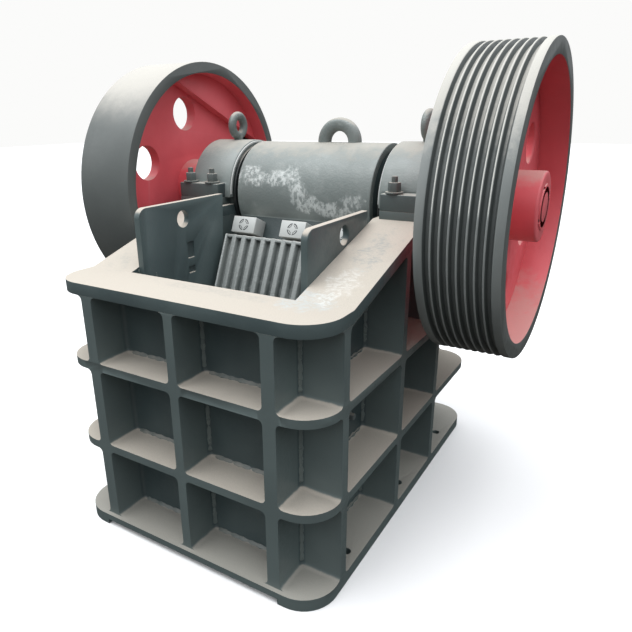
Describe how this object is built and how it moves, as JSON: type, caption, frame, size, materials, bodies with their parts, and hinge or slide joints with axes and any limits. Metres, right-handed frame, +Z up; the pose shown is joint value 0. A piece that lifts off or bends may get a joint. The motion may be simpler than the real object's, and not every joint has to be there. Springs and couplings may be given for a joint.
{
  "type": "jaw crusher",
  "caption": "Fixed-plant jaw crusher: welded ribbed box frame, swing jaw on an eccentric shaft between a plain flywheel and a grooved drive pulley, with bolted bearing caps.",
  "frame": {"origin": "centre of the rectangle of the four corner anchor bolts, on the underside of the base flange", "axes": "+Z up, -Y towards the feed side with the fixed jaw, +X along the shaft towards the grooved drive pulley"},
  "size_m": [1.779, 1.577, 1.73],
  "materials": {
    "frame_paint": "dark slate grey-green gloss paint on welded plate, dusty on upward faces",
    "casting_paint": "grey gloss paint on castings, scuffed and dusty",
    "wheel_paint": "red paint on webs and hubs",
    "rim_paint": "satin dark grey rims, turned",
    "jaw_steel": "cast manganese steel with a thin coat of grey paint",
    "shaft_steel": "turned steel, oiled",
    "fastener_paint": "hexagon nuts and studs painted with the frame"
  },
  "bodies": {
    "frame": {"side_wall_left": "frame_paint", "side_wall_right": "frame_paint", "front_wall": "frame_paint", "rear_wall": "frame_paint", "base_flange_front": "frame_paint", "base_flange_rear": "frame_paint", "base_flange_left": "frame_paint", "base_flange_right": "frame_paint", "shelves_front": "frame_paint", "shelves_rear": "frame_paint", "shelves_left": "frame_paint", "shelves_right": "frame_paint", "top_flange_front": "frame_paint", "top_flange_rear": "frame_paint", "top_flange_left": "frame_paint", "top_flange_right": "frame_paint", "ribs_front": "frame_paint", "ribs_rear": "frame_paint", "ribs_left": "frame_paint", "ribs_right": "frame_paint", "fixed_jaw_plate": "jaw_steel", "cheek_plate_left": "frame_paint", "cheek_plate_right": "frame_paint", "bearing_base_left": "frame_paint", "bearing_base_right": "frame_paint", "bearing_cap_left": "casting_paint", "bearing_cap_right": "casting_paint", "cap_studs_left": "fastener_paint", "cap_studs_right": "fastener_paint", "bearing_covers": "frame_paint", "cap_eyes": "casting_paint", "toggle_plate": "frame_paint", "toggle_seat": "frame_paint"},
    "rotor": {"eccentric_shaft": "shaft_steel", "flywheel_ring": "rim_paint", "flywheel_web": "wheel_paint", "drive_pulley_ring": "rim_paint", "drive_pulley_web": "wheel_paint"},
    "swing_jaw": {"swing_jaw": "casting_paint", "swing_jaw_plate": "jaw_steel", "jaw_clamp_blocks": "jaw_steel", "jaw_end_covers": "frame_paint", "jaw_lifting_ring": "casting_paint"}
  },
  "joints": [
    {"name": "shaft_spin", "type": "hinge", "parent": "frame", "child": "rotor", "pos_m": [0, 0.256, 1.18], "axis": [1, 0, 0], "continuous": true},
    {"name": "jaw_swing", "type": "hinge", "parent": "frame", "child": "swing_jaw", "pos_m": [0, 0.256, 1.18], "axis": [-1, 0, 0], "range_deg": [0, 1.1]}
  ]
}
